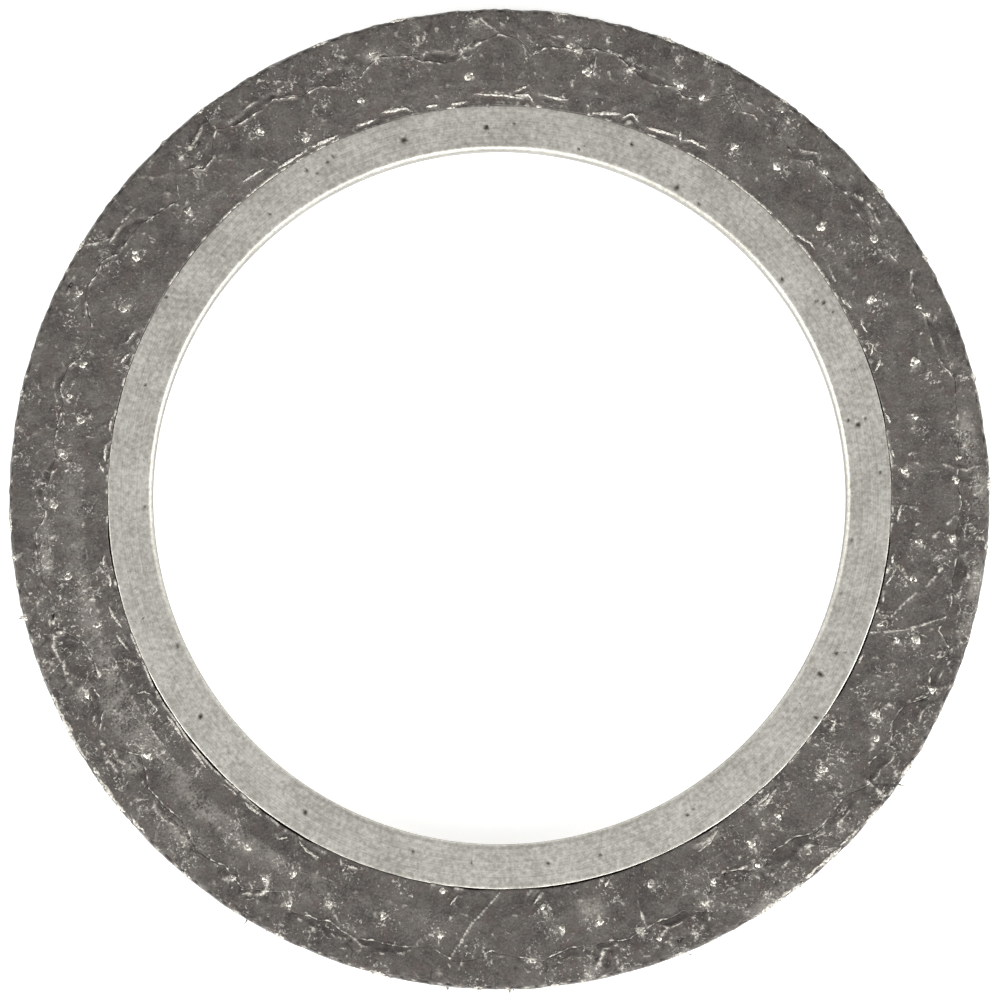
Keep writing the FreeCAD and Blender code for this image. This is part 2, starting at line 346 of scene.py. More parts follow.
marksRead = {
    # Raised folds in the foil
    "folds": (
        ((26.5, 460), (28, 466), (29, 471)), ((33, 400), (36.5, 405)), ((46.5, 461), (49, 451)),
        ((74.6, 460), (77, 461)), ((82, 467), (83.5, 466)), ((93.5, 457), (95.3, 449)),
        ((90, 466), (91.5, 475), (92.3, 481)), ((99, 472), (99.6, 463), (101, 460)),
        ((107.5, 466), (109.5, 468), (110.5, 475)), ((111.2, 463), (112.5, 460), (113.4, 455)),
        ((129.8, 446), (131.2, 443)), ((141.5, 466), (143.7, 468), (146, 467), (147.6, 477), (148.6, 486)),
        ((153.8, 486), (154.4, 477)), ((154.6, 458), (156, 452), (157, 445)), ((162.5, 449), (166.5, 453)),
        ((176, 448), (178, 453), (180.5, 458)), ((183.5, 466), (188, 467), (192, 465)),
        ((208, 449), (209.4, 459)), ((211.6, 466), (213.4, 458)), ((213.8, 470), (215.5, 470)),
        ((217.3, 447), (218.5, 456)), ((201, 434), (203.5, 435)), ((202, 420), (206, 420)),
        ((210, 418), (216, 417)), ((219.6, 478), (219.5, 470), (220.3, 465)),
        ((229.6, 491), (228.9, 482), (229.4, 474), (227.3, 472)), ((241, 456), (241.2, 446)),
        ((251, 461), (254, 468)), ((288.9, 448), (289, 424)), ((293.7, 486), (294.6, 477), (295.8, 472)),
        ((296.5, 470), (297.3, 458), (297.1, 452)), ((306, 464), (309, 463), (312, 465)),
        ((303.5, 433), (305, 427), (308, 424)), ((315, 476), (317, 466)),
        ((336.6, 468), (338.5, 465), (340.8, 467), (341.7, 478)), ((352, 452), (350, 443), (348.5, 436)),
        ((357.8, 455), (355, 436)), ((4, 484), (3.5, 468), (4.6, 440)), ((54, 470), (60, 467), (62, 472)),
        ((130, 452), (129.8, 440), (127.5, 428)), ((137.5, 436), (139.5, 446)),
    ),
    # Folds that stand out more
    "boldFolds": (
        ((92.5, 457), (94.5, 450), (95.5, 443)), ((116.8, 451), (119.5, 460), (124.5, 456)),
        ((128.5, 477), (130, 471), (131.5, 467), (133.2, 467)), ((322.3, 488), (322.5, 462)),
        ((289.4, 474), (289.9, 467), (291.5, 461), (295, 459)), ((143, 455), (147.5, 455)),
        ((196.8, 462), (197.3, 450), (199, 441), (203.8, 437)),
        ((36, 469), (38, 473), (40, 470), (41.5, 463)),
        ((237, 471), (239, 461), (239.1, 453), (238.3, 441)), ((281.6, 480), (283, 465)),
        ((242.9, 461), (242.3, 449)), ((299, 438), (301, 435), (304, 443)),
        ((333.8, 457), (335, 467), (335.9, 479)), ((197, 466), (198.5, 471), (200.7, 466), (202, 468)),
        ((202.6, 469), (203.8, 464), (205, 455), (206.6, 452), (207.5, 459)),
    ),
    # Small hollows beside the wire's crests, darkened with painted shade
    "hollows": (
        ((136.4, 427), (137.5, 427)), ((152.8, 427), (153.6, 426)), ((153.2, 479), (154.2, 481)),
        ((161, 450), (161.6, 448)), ((194.2, 461), (194.8, 461)), ((39.8, 429), (40.5, 429)),
        ((17.8, 445), (18.6, 445)), ((292, 477), (292.8, 476)), ((275.8, 419), (276.6, 419)),
    ),
    # Stretches that are rough all over: their middle and spread in degrees
    "roughStretches": ((205, 14), (318, 22)), "roughEach": 45,
    "undersideFrays": 130, "undersideFolds": 45,
    # Scratches with a burr beside them
    "scratches": (
        ((263.8, 462), (266.3, 425), (270, 394)), ((345.2, 462), (342, 424), (340.2, 394)),
        ((347.3, 427), (345.3, 417), (343.5, 410)),
    ),
    # Frayed places, where the foil is broken into flecks
    "frays": (
        (2, 478), (6, 475), (9, 463), (9.5, 428), (4, 408), (14.5, 482), (16, 470), (22, 401), (27, 424),
        (15.5, 447), (33, 457), (38.5, 486), (37.5, 422), (47, 462), (54.3, 481), (52, 475), (49.5, 437),
        (55.5, 418), (60, 463), (66, 451), (68, 470), (72.8, 451), (64, 486), (78, 441), (80.2, 458),
        (86, 449), (83, 487), (94.5, 450), (93, 477), (101, 446), (100, 468), (106, 461), (110.5, 474),
        (113, 459), (110, 443), (118, 412), (124, 445), (117, 464), (114.5, 431), (119.5, 479), (132, 467),
        (132.2, 446), (127, 483), (137.5, 420), (146, 438), (147, 479), (149, 455), (152.5, 420),
        (154, 470), (157.5, 460), (161.3, 444), (167, 445), (169, 425), (167.5, 484), (173.5, 442),
        (175, 477), (176, 426), (160, 397), (172, 486), (181, 449), (185, 454), (187.5, 458), (190, 446),
        (192, 474), (195.5, 455), (197.4, 424), (200.5, 480), (205.3, 462), (215.4, 456), (214, 470),
        (220.2, 470), (223, 462), (203, 420), (191, 402), (196.5, 402), (205, 483), (212, 480), (222, 403),
        (227, 465), (229, 479), (234.5, 464), (232, 433), (230.6, 415), (238.5, 447), (242, 446),
        (238, 486), (243, 484), (247, 472), (247.5, 440), (254.5, 435), (247.5, 401), (256, 400),
        (250.5, 452), (261.5, 438), (268.5, 455), (267, 482), (255, 481), (274.2, 462), (277.5, 437),
        (282.7, 435), (280.7, 481), (281, 465), (276, 482), (285, 485), (288.5, 456), (290.2, 467),
        (294.7, 479), (297, 460), (291.5, 485), (298, 446), (305.5, 450), (301, 470), (307, 469),
        (311, 468), (306, 428), (310, 423), (313, 476), (302, 402), (311.5, 403), (276, 412), (285.5, 398),
        (292, 417), (304, 480), (316, 478), (318, 461), (319, 448), (319.5, 421), (322, 483), (325.5, 484),
        (328, 466), (331, 472), (329.5, 438), (326, 403), (340.5, 440), (340.3, 421), (342, 405),
        (336, 471), (341, 472), (343.5, 482), (346.5, 483), (348, 469), (350, 400), (350.5, 481),
        (354.7, 457), (353.8, 419), (348.5, 413), (352, 450), (355.5, 480), (358, 400), (357, 467),
    ),
}

wire = {
    "halfWidth": 0.17, "halfHeight": 0.055, "stand": 0.045, "dive": 0.13, "legLength": 0.5, "legSplay": 38,
    "turn": 40, "knuckles": 3, "steps": 9,
    "bandMiddle": 23.65,  # mm
    # Stitches in the flat band: degrees round the ring, and mm outwards from the middle of the band
    "stitches": (
        (11, -0.4), (18, 0.4), (28, -0.4), (40, -0.3), (50, 0.2), (56, -0.4), (78, 0.4), (94, -0.3),
        (109, -0.4), (123, 0.5), (137, -0.4), (146, 0.4), (153, -0.4), (162, 0.4), (169, -0.2), (174, 0.5),
        (190, 0.5), (197, -0.4), (216, 0.3), (234, 0), (241, -0.1), (247, 0.5), (254, 0.2), (262, 0.5),
        (278, 0.3), (283, 0.2), (299, 0.5), (306, -0.1), (311, -0.4), (320, -0.4), (330, 0.2), (341, 0.5),
        (349, -0.4), (354, -0.4),
    ),
    # Other crests, on the slope, along the seam and on the folded turn: degrees and photograph pixels
    "strays": (
        (2.3, 455), (4, 408), (5, 461), (23.2, 466), (24.5, 461), (34.9, 455), (45, 461), (54.3, 482),
        (63, 450), (66.8, 450), (72.8, 450), (80.1, 457), (81.3, 458), (92.8, 477), (106, 463),
        (118.2, 411), (132.3, 446), (153.9, 469), (166.7, 442), (180.5, 447), (187, 488), (194, 488),
        (205.6, 456), (234.7, 464), (238.2, 445), (242.3, 456), (262, 396), (274.2, 462), (276.2, 411),
        (280.7, 482), (288.3, 455), (290, 466), (291.8, 415), (297, 453), (305.2, 449), (311, 466),
        (316.3, 471), (322.4, 482), (327.4, 446), (336.4, 473), (340.3, 421), (342, 400), (354.8, 456),
    ),
    "undersideTurn": 57, "strayTurn": 20, "rimStitches": 28, "rimSway": 0.3,
    # Broken ends that stick out of the rim: degrees, photograph pixels reached, and how far each hooks round
    "ends": (
        (13.9, 494, 1.2), (194, 494, 0.2), (230.4, 493, 1.5), (239, 495, -0.1), (292.4, 497, 0.8),
        (324.4, 496, 0.3),
    ),
}

flakes = {
    # Turned-up edges beside the eyelet, as routes of degrees and photograph pixels
    "beside": (
        ((6, 398), (7.2, 396)), ((11, 398), (12.6, 395)), ((18.8, 397), (20.3, 406)),
        ((21, 397), (22.4, 404), (23, 401)), ((24.4, 404), (26.2, 403)), ((28.5, 401), (30.6, 397)),
        ((38.3, 402), (39.5, 404), (41.7, 398)), ((59.5, 407), (61.8, 408), (62.9, 403)),
        ((63.2, 401), (63.8, 410)), ((64, 404), (66, 402), (68.4, 400)),
        ((69.7, 402), (71, 408), (72.1, 401)), ((72.4, 404), (74, 402), (76.6, 397)),
        ((80.2, 405), (84, 407)), ((86, 415), (87.9, 408)), ((85, 397), (85.8, 404), (88, 404)),
        ((86.5, 401), (89.5, 405), (93.6, 406)), ((94.8, 399), (97, 398)), ((98.9, 399), (100.6, 399)),
        ((102.6, 397), (103.7, 403), (107.1, 404)), ((108, 400), (111, 400)), ((114, 398), (118, 399)),
        ((119, 399), (124, 398)), ((125.5, 406), (129, 408)), ((155.2, 401), (157.2, 404)),
        ((158.4, 397), (160.2, 402)), ((168, 396), (170, 396)), ((172.3, 397), (174.6, 396)),
        ((174.8, 402), (176.2, 397)), ((188, 399), (189.8, 401)), ((189.5, 406), (190.6, 403)),
        ((190.8, 398), (192.8, 399)), ((195.3, 405), (197, 402), (198.8, 399)), ((199.6, 406), (202, 401)),
        ((208.2, 411), (208.4, 403), (209.2, 400)), ((209.8, 404), (211.6, 401), (211.9, 409)),
        ((213, 397), (217, 397)), ((219, 397), (222.5, 398)), ((226, 397), (228.4, 396)),
        ((230, 396), (233, 396)), ((237, 405), (237.9, 399)), ((239.5, 396), (241.2, 400), (243.6, 402)),
        ((247.1, 404), (247.3, 398)), ((247.2, 397), (248.9, 396)), ((261.4, 396), (262.6, 395)),
        ((263.1, 409), (264.1, 398)), ((274.9, 406), (276, 396)), ((285.2, 402), (286, 396)),
        ((299.4, 405), (301.4, 402), (304, 394)), ((300.3, 400), (302.6, 398)),
        ((309.6, 398), (311, 404), (314, 400)), ((310.2, 400), (312.6, 399)),
        ((325, 404), (326.4, 404), (326.2, 398)), ((335.5, 395), (337, 396)), ((341.4, 398), (342.6, 405)),
        ((345, 397), (346, 396)), ((347.6, 396), (350.2, 403)), ((350.5, 399), (352.1, 398)),
        ((357, 399), (359.2, 402)),
    ),
    # Torn pieces on the rim's upper edge, pale from burnishing and painted highlight: first and last degree
    "rim": (
        (1, 3), (14, 15), (29, 30.2), (38, 39.5), (54, 55), (63.5, 66), (69, 71), (82, 84), (101, 103),
        (110.5, 112.5), (127, 128), (148, 149.5), (167, 168), (182, 184), (186.7, 187.3), (193.7, 194.3),
        (203.5, 205.4), (204.6, 207.6), (207.4, 209), (212.6, 215.2), (214.5, 218.5), (218, 220),
        (220.5, 223.4), (206, 212), (229.5, 231), (242.5, 244), (254.5, 256.5), (267, 268), (276, 277),
        (291, 292.2), (301.5, 304.6), (303.2, 307), (302.8, 306.4), (306.8, 308.4), (308.6, 311.4),
        (310, 314.6), (314, 318), (318.5, 321), (321.8, 323), (325, 327.8), (334, 334.8), (343, 344),
        (353.8, 355),
    ),
    "boldRim": ((203, 223), (302, 328)),  # degrees between which the rim's pieces are broad
    # How deep below the face a piece on the rim lies, and its half width, each from least to most in mm
    "plainPiece": ((0.05, 0.1), (0.07, 0.13)), "boldPiece": ((0.03, 0.06), (0.08, 0.15)),
    "steps": 13, "halfHeight": 0.03, "undersideCount": 46, "undersideTurn": 74,
}


def onFace(degrees, pixels):  # a place on the upper face, in mm
    turn, reach = math.radians(degrees), pixels * photoPixel
    return reach * math.cos(turn), reach * math.sin(turn)


def chanceRoute(count):  # a seam for the underside, which the photograph doesn't show: lobes and cusps
    middles = np.arange(count) * 360 / count + dice.uniform(-1.8, 1.8, count)
    route = []
    for middle, after in zip(middles, np.append(middles[1:], middles[0] + 360)):
        reach, wide = dice.uniform(442, 458), (after - middle) * dice.uniform(0.15, 0.3)
        route += [(middle - wide, reach + dice.uniform(0, 3)), (middle + wide, reach + dice.uniform(0, 3)),
                  ((middle + after) / 2, reach + dice.uniform(6, 16))]
    sunk = middles[dice.random(count) < 0.6]
    lenses = [(middle - 2.6, middle + 2.6, dice.uniform(7, 16)) for middle in sunk]
    return tuple(route), tuple(lenses)


def chanceCurls(frays, each, scattered):  # short curled flecks, crowded round the frayed places
    places = [(degrees + dice.normal(0, 0.75), pixels + dice.normal(0, 5))
              for degrees, pixels in frays for _ in range(each)]
    places += [(dice.uniform(0, 360), dice.uniform(398, 488)) for _ in range(scattered)]
    curls = []
    for degrees, pixels in places:
        direction, bend = dice.normal(0, 1.1), dice.normal(0, 0.7)
        step = dice.uniform(0.06, 0.2) / photoPixel
        curl = [(degrees, pixels)]
        for _ in range(3):
            curl.append((curl[-1][0] + math.degrees(step * math.cos(direction) / pixels),
                         curl[-1][1] + step * math.sin(direction)))
            direction += bend
        curls.append(tuple(curl))
    return curls


# Lines drawn in the relief

def drawnLines(angles, radius, lines, width):  # 1 along the lines, falling to 0 beside them
    ink = np.zeros_like(radius)
    margin = math.degrees(3 * width / lipRadius)
    for line in lines:
        for (startDegrees, startPixels), (endDegrees, endPixels) in zip(line, line[1:]):
            turn = turnFrom(angles, startDegrees)
            sweep = endDegrees - startDegrees
            near = (turn > min(0, sweep) - margin) & (turn < max(0, sweep) + margin)
            x = np.radians(turn[near]) * startPixels * photoPixel + 0 * radius[:, near]
            y = radius[:, near] - startPixels * photoPixel
            endX = math.radians(sweep) * startPixels * photoPixel
            endY = (endPixels - startPixels) * photoPixel
            share = np.clip((x * endX + y * endY) / (endX ** 2 + endY ** 2 + 1e-9), 0, 1)
            away = np.hypot(x - share * endX, y - share * endY)
            ink[:, near] = np.maximum(ink[:, near], hump(away, width))
    return ink


def seamRoute(angles, route, seed):  # the seam's radius at each angle
    degrees = np.array([place[0] for place in route])
    reach = np.array([place[1] for place in route]) * photoPixel
    order = np.argsort(degrees)
    radius = np.interp(np.degrees(angles), degrees[order], reach[order], period=360)
    for grain in seam["rippleGrains"]:
        ripple = seam["ripple"] * grain ** 0.6
        radius = radius + ripple * faceNoise(angles, seam["middle"], grain, seed + grain)
    return radius


def lensWidth(angles, lenses):  # how far each sunk lens reaches out from the seam, in mm
    width = 0 * angles
    for first, last, pixels in lenses:
        away = turnFrom(angles, (first + last) / 2)
        share = np.clip(1 - (2 * away / (last - first)) ** 2, 0, 1)
        width = np.maximum(width, pixels * photoPixel * share ** 0.6)
    return width


# Height of the pressed face

press = {
    "bandTop": 2.13,  # mm above the middle of the thickness
    "foldTop": 2.215,
    "dieEdge": 22.9,  # mm from the axis, where the slope meets the flat band
    "dieStep": 0.035,
    "gap": (-0.04, 0.045),  # beside the flange's lip, where the foil laps over it and where it stands off
    "eyeletAside": (0.10, 85),  # mm, and the direction in degrees, that the eyelet sits off the axis
    # Height and lump size of the face's swells, its two sizes of pimple and its crumpled patches
    "swell": (0.022, 1.9), "pimple": (0.010, 0.45), "finePimple": (0.006, 0.2), "crumple": (0.02, 0.9),
    "patchSize": 1.6, "breakSize": 0.35,
    # Print of the buried mesh: loops round the ring, the middle of each chain, its swing, and the height
    # and width of its lines
    "stitchColumns": 54, "stitchRows": (22.1, 23.5, 24.9, 26.2), "stitchReach": 0.62,
    "stitchPrint": (0.018, 0.15),
    # Width and height of each kind of mark in the foil
    "foldLine": (0.075, 0.055), "boldFold": (0.085, 0.1),
    "flakeRoot": (0.07, 0.02), "flakeShade": (0.10, -0.09),
    "mound": (0.26, 0.03), "roughCurl": (0.045, 0.04), "fineCurl": (0.035, 0.022), "curl": (0.045, 0.034),
    "boldCurl": (0.06, 0.055), "scratch": (0.06, 0.05),
    "fraySize": 0.75, "crestSize": 0.28,
    "formRange": 0.035,  # mm of relief from plain foil to fully pale (burnished, and partly painted highlight), or down to the painted black shade of a crack
}


def asideAt(angles):  # how far the eyelet stands out on each side, because it isn't quite in the middle
    distance, direction = press["eyeletAside"]
    return distance * np.cos(angles - math.radians(direction))


def wirePrint(angles, radius, seed):  # the buried wire mesh shows through the foil as faint chains of loops
    lines = np.zeros_like(radius)
    for number, middle in enumerate(press["stitchRows"]):
        phase = press["stitchColumns"] * angles + number * math.pi + 0.8 * np.sin(5 * angles + seed)
        for side in (-1, 1):
            route = middle + side * press["stitchReach"] * np.sin(phase)
            steepness = np.abs(press["stitchReach"] * np.cos(phase)) * press["stitchColumns"] / middle
            away = (radius - route) / np.sqrt(1 + steepness ** 2)
            lines = np.maximum(lines, hump(away, press["stitchPrint"][1]))
    return lines


def faceRelief(angles, radius, marks, seed):  # unevenness that every part of the face has
    around, flat = angles + 0 * radius, 0 * radius
    relief = 0 * radius
    for number, kind in enumerate(("swell", "pimple", "finePimple")):
        height, grain = press[kind]
        relief += height * faceNoise(around, radius, grain, seed + number)
    patches = smoothStep(faceNoise(around, radius, press["patchSize"], seed + 3), -0.1, 0.45)
    height, grain = press["crumple"]
    relief -= height * patches * creaseNoise(around, radius, flat, grain, seed)
    relief += press["stitchPrint"][0] * wirePrint(around, radius, seed) * smoothStep(patches, 0.9, 0.2)
    broken = 0.55 + 0.8 * faceNoise(around, radius, press["breakSize"], seed + 4)
    for kind in [kind for kind in marks if kind in press]:
        width, height = press[kind]
        share = 0.9 if kind == "scratch" else np.clip(broken, 0.1, 1.2)
        relief += height * share * drawnLines(angles, radius, marks[kind], width)
    return relief


def formOf(relief):  # 1 on what stands out of the surface round it, -1 in its cracks
    return np.clip((relief - blurred(relief, 6)) / press["formRange"], -1, 1)


def placesAround(angles, radius, places, size):  # 1 at each place on the face, falling to 0 round it
    total = 0 * radius
    for degrees, pixels in places:
        turn = turnFrom(angles[0], degrees)
        near = np.abs(turn) < math.degrees(2.5 * size / lipRadius)
        away = np.hypot(np.radians(turn[near]) * radius[:, near], radius[:, near] - pixels * photoPixel)
        total[:, near] = np.maximum(total[:, near], hump(away, size))
    return total


def scuffAndHighlightAround(angles, radius):  # 0 to 1: the places on the face that are scratched and rubbed pale, partly real rubbing and partly painted highlight on facets facing the light
    scuffedAndHighlit = {
        # Degrees, pixels, and half the length and width of each place in mm
        "places": (
            (186.5, 456, 1.3, 0.35), (205.2, 460, 0.5, 0.4), (216, 453, 0.6, 0.45), (227, 461, 1.3, 0.5),
            (223.5, 463, 0.8, 0.15), (302, 400, 1.0, 0.2), (311.5, 402, 1.1, 0.25), (304, 483, 1.6, 0.3),
            (282.5, 420, 0.7, 0.6), (205, 428, 1.8, 0.4), (226, 428, 1.4, 0.6), (210, 440, 1.6, 0.5),
            (348, 483, 2.6, 0.3), (1, 480, 1.2, 0.4), (281, 482, 0.5, 0.4), (7, 472, 1.6, 0.5),
        ),
        "crestDepth": 0.55,  # round the wire's crests
        # The pale stretch of the flat band, rubbed and partly painted highlight: its middle and half length
        # in degrees, and mm from the axis
        "bandDepth": 0.6, "bandMiddle": 212, "bandSpread": 36, "bandFade": (23.4, 24.6),
    }
    total = 0 * radius
    for degrees, pixels, halfLength, halfWidth in scuffedAndHighlit["places"]:
        along = np.radians(turnFrom(angles, degrees)) * radius
        across = radius - pixels * photoPixel
        total = np.maximum(total, np.exp(-(along / halfLength) ** 4 - (across / halfWidth) ** 4))
    crests = [(degrees, (wire["bandMiddle"] + offset) / photoPixel) for degrees, offset in wire["stitches"]]
    crests += list(wire["strays"])
    crested = placesAround(angles, radius, crests, press["crestSize"])
    total = np.maximum(total, scuffedAndHighlit["crestDepth"] * crested)
    fadeStart, fadeEnd = scuffedAndHighlit["bandFade"]
    rubbedAndHighlit = smoothStep(radius, press["dieEdge"] + 0.02, press["dieEdge"] + 0.08)
    rubbedAndHighlit = scuffedAndHighlit["bandDepth"] * (rubbedAndHighlit * smoothStep(-radius, -fadeEnd, -fadeStart))
    facing = np.exp(-(((np.degrees(angles) - scuffedAndHighlit["bandMiddle"]) / scuffedAndHighlit["bandSpread"]) ** 4))
    return np.maximum(total, rubbedAndHighlit * facing)


# Pressed core: slope, flat band and the lip along the seam, as an upper and a lower half that meet inside

core = {
    "columns": (2300, 1300), "faceRows": (26, 18), "rowSpread": 1.15,  # upper half and lower half
    "seamOffsets": (-0.32, -0.25, -0.19, -0.14, -0.10, -0.065, -0.035, -0.01, 0.02, 0.07),  # mm
    "lip": (0.085, 0.06),  # height and width of the ridge along the seam
    "insideWall": 0.26,  # mm between the bore and the core's hidden wall
    "underFlange": 1.76,  # mm, the core's height under the flange
    "overFlange": 0.01,  # mm that its face starts above the flange
    "insideRim": 26.2, "underFold": (25.6, 1.8), "insideRimTop": 1.7,  # mm, hidden under the folded turn
    # The edge beside the flange: how far round from its tightest place it stays tight, how much of the
    # eyelet's shift it follows, and how far it wanders
    "tightSpan": (52, 92), "asideShare": 0.8, "wander": 0.02,
    "dieRidge": (0.03, 0.05),  # height and width of the ridge at the end of the slope
    "dieRidgeFacing": (212, 38),  # the middle and half length of its strongest stretch, in degrees
    # Where the foil's inner edge is torn up beside the flange, with a painted highlight along it: first and
    # last degree, and how much
    "tornEdge": (
        (0, 22, 0.4), (22, 34, 0.7), (34, 60, 1.0), (60, 114, 0.45), (114, 136, 0.9), (136, 182, 0.5),
        (182, 200, 0.35), (200, 236, 0.95), (236, 345, 0.3), (345, 360, 0.5),
    ),
    "torn": (0.045, 0.07),  # height and width of the torn edge
    "noiseReach": 23, "tornReach": 21.7,  # mm from the axis, where the noise along those edges is read
}


def innerEdge(angles, tightest, seed):  # the radius of the foil's edge beside the flange's lip
    looseness = smoothStep(faceNoise(angles, lipRadius, 3.0, seed), -0.25, 0.25)
    loosest = smoothStep(np.abs(turnFrom(angles, tightest)), *core["tightSpan"])
    tight, loose = press["gap"]
    start = lipRadius + tight + (loose - tight) * looseness * (0.15 + 0.85 * loosest)
    start = start + core["wander"] * faceNoise(angles, start, 0.4, seed + 4)
    return start + core["asideShare"] * asideAt(angles)


def coreSlope(angles, radius, seed):  # the height of the slope and the flat band, with the step from the die
    edge = press["dieEdge"]
    climb = press["bandTop"] - press["dieStep"] - flangeTop - core["overFlange"]
    height = flangeTop + core["overFlange"] + climb * smoothStep(radius, lipRadius, edge)
    worn = 0.5 + 0.5 * smoothStep(faceNoise(angles, core["noiseReach"], 2.5, seed + 7), -0.3, 0.2)
    return height + press["dieStep"] * worn * smoothStep(radius, edge - 0.04, edge + 0.04)


def dieRidge(angles, radius, seed):  # a fine ridge that the die has raised along the end of the slope
    facing, spread = core["dieRidgeFacing"]
    high, wide = core["dieRidge"]
    marked = smoothStep(faceNoise(angles, core["noiseReach"], 1.3, seed + 13), -0.2, 0.3)
    marked = marked * (0.3 + 0.7 * np.exp(-(((np.degrees(angles) - facing) / spread) ** 4)))
    return high * marked * hump(radius - press["dieEdge"] - 0.06, wide)


def seamLip(angles, radius, route, seed):  # the broken ridge along the seam
    high, wide = core["lip"]
    raised = smoothStep(faceNoise(angles, route + 0 * radius, 0.9, seed + 6), -0.3, 0.2)
    raised = raised * np.clip(0.7 + faceNoise(angles, radius, 0.2, seed + 8), 0, 1.2)
    return high * raised * hump(radius - route + 0.06, wide)


def tornEdge(angles, radius, start, seed):  # 1 where the foil is torn up beside the flange
    torn = sum(share * ((np.degrees(angles) >= first) & (np.degrees(angles) < last))
               for first, last, share in core["tornEdge"])
    torn = smoothStep(faceNoise(angles, core["tornReach"], 0.55, seed + 15) + 1.2 * torn - 0.75, -0.15, 0.15)
    return torn * hump(radius - start - 0.06, core["torn"][1])


def coreHalf(name, columns, faceRows, route, marks, tightest, seed, side):
    angles = np.linspace(0, 2 * math.pi, columns, endpoint=False)
    route = seamRoute(angles, route, seed)
    flat = 0 * angles
    start = innerEdge(angles, tightest, seed)
    across = np.linspace(0, 1, faceRows)[:, None] ** core["rowSpread"]
    outer = route + core["seamOffsets"][0] - 0.06
    radius = np.concatenate([start + 0.03 + (outer - start - 0.03) * across,
                             route + np.array(core["seamOffsets"])[:, None]])
    away = radius - route
    height = coreSlope(angles, radius, seed)
    relief = faceRelief(angles, radius, marks, seed) + dieRidge(angles, radius, seed)
    relief += seamLip(angles, radius, route, seed)
    edge = tornEdge(angles, radius, start, seed)
    relief += core["torn"][0] * edge
    shadedGap = smoothStep(faceNoise(angles, route + 0 * radius, 0.7, seed + 10), 0.0, 0.4)
    # painted highlight: the torn edge beside the flange is made pale
    form = np.maximum(formOf(relief), 1.4 * edge - 0.2)
    # painted shade: the core beyond the seam is dark, showing where the turn's edge stands open
    form = np.where(away > 0.0, -0.35 - 0.65 * shadedGap, form)
    height = np.minimum(height + relief - 0.25 * smoothStep(away, 0.0, 0.05), faceTop - 0.005)
    wall = boreRadius + core["insideWall"] + asideAt(angles)
    inside = [(wall, flat), (wall, core["underFlange"] - 0.03 + flat), (start, core["underFlange"] + flat),
              (start + 0.008, 1.9 + flat)]
    under = [(np.maximum(route + 0.15, core["underFold"][0]), core["underFold"][1] + flat),
             (core["insideRim"] + flat, core["insideRimTop"] + flat), (core["insideRim"] + flat, flat)]
    face = (angles, radius, side * height)
    radius = np.concatenate([np.stack([r for r, z in inside]), radius, np.stack([r for r, z in under])])
    height = np.concatenate([np.stack([z for r, z in inside]), height, np.stack([z for r, z in under])])
    hidden = [np.full((rows, columns), -1.0) for rows in (len(inside), len(under))]
    form = np.concatenate([hidden[0], form, hidden[1]])
    scuff = scuffAndHighlightAround(angles + 0 * radius, radius) * (side > 0)
    seen = slice(len(inside), -len(under))
    # the torn edge also takes the pale rubbed colour, as painted highlight
    scuff[seen] = np.maximum(scuff[seen], edge)
    fray = placesAround(angles + 0 * radius, radius, marks["fray"], press["fraySize"])
    if side < 0:
        radius, height, form, scuff, fray = (values[::-1] for values in (radius, -height, form, scuff, fray))
    piece = addRing(name, angles, radius, height, graphiteFoil, {"form": form, "scuff": scuff, "fray": fray})
    return piece, face


# Folded outer turn: over the rim and onto both faces

fold = {
    "columns": 1650, "bandRows": (15, 8), "edgeRows": 4, "wallRows": 9,
    "edgeOffsets": (0.0, 0.012, 0.05, 0.10, 0.16, 0.24, 0.34, 0.48),
    "edgeRadius": 0.2, "dipWidth": 0.5, "ragged": 0.066, "proudest": 0.08,
    "outOfRound": 0.01, "widestAt": 170,
    "ridge": (0.05, 0.06),  # height and width of the ridge beyond each lens
    "opened": (0.04, 0.01),  # mm that the first two rows dip where the seam stands open
    # Lump sizes on the rim's side: broad ones all over, and fine ones and creases at its edges
    "lumpSize": 1.3, "fineLumpSize": 0.35, "creaseSize": 1.2, "edgeStart": (1.5, 1.95),
    "insideRim": 26.1, "insideTop": 1.75, "underSeam": (25.5, 1.9),
}


def foldFace(angles, route, lenses, marks, rim, bandRows, seed):  # one face, from the seam to the rim's edge
    radius = route + np.array(fold["edgeOffsets"])[:, None]
    across = np.linspace(0, 1, bandRows + 1)[1:, None]
    radius = np.concatenate([radius, radius[-1] + (rim - fold["edgeRadius"] - radius[-1]) * across])
    away = np.maximum(radius - route, 0)
    middle = seam["middle"]
    lens = lensWidth(angles, lenses) * (1 + 0.25 * faceNoise(angles, middle, 1.0, seed + 9))
    inside = smoothStep(lens - away, -0.02, 0.09) * (lens > 0.08)
    inside = inside * np.clip(0.75 + 0.6 * faceNoise(angles, middle, 2.2, seed + 12), 0.25, 1)
    ridge = hump(away - lens - 0.05, fold["ridge"][1]) * (lens > 0.12)
    ridge = ridge * smoothStep(faceNoise(angles, radius, 0.7, seed + 5), -0.2, 0.3)
    relief = faceRelief(angles, radius, marks, seed) * (1 - 0.5 * inside) + fold["ridge"][0] * ridge
    # painted shade in the sunk lenses
    form = formOf(relief) * (1 - 0.6 * inside) - 0.55 * inside
    opened = smoothStep(faceNoise(angles, middle, 1.3, seed + 14), -0.1, 0.3)
    height = press["foldTop"] + relief - seam["dip"] * inside
    height -= seam["edgeDip"] * (1.7 - opened) * hump(away, fold["dipWidth"]) * (1 - inside)
    for row, dip in enumerate(fold["opened"]):
        height[row] -= dip * opened
    # painted shade along the seam where it stands open
    form[0] -= 0.35 * opened
    return radius, np.minimum(height, faceTop - 0.002), np.clip(form, -1, 1)


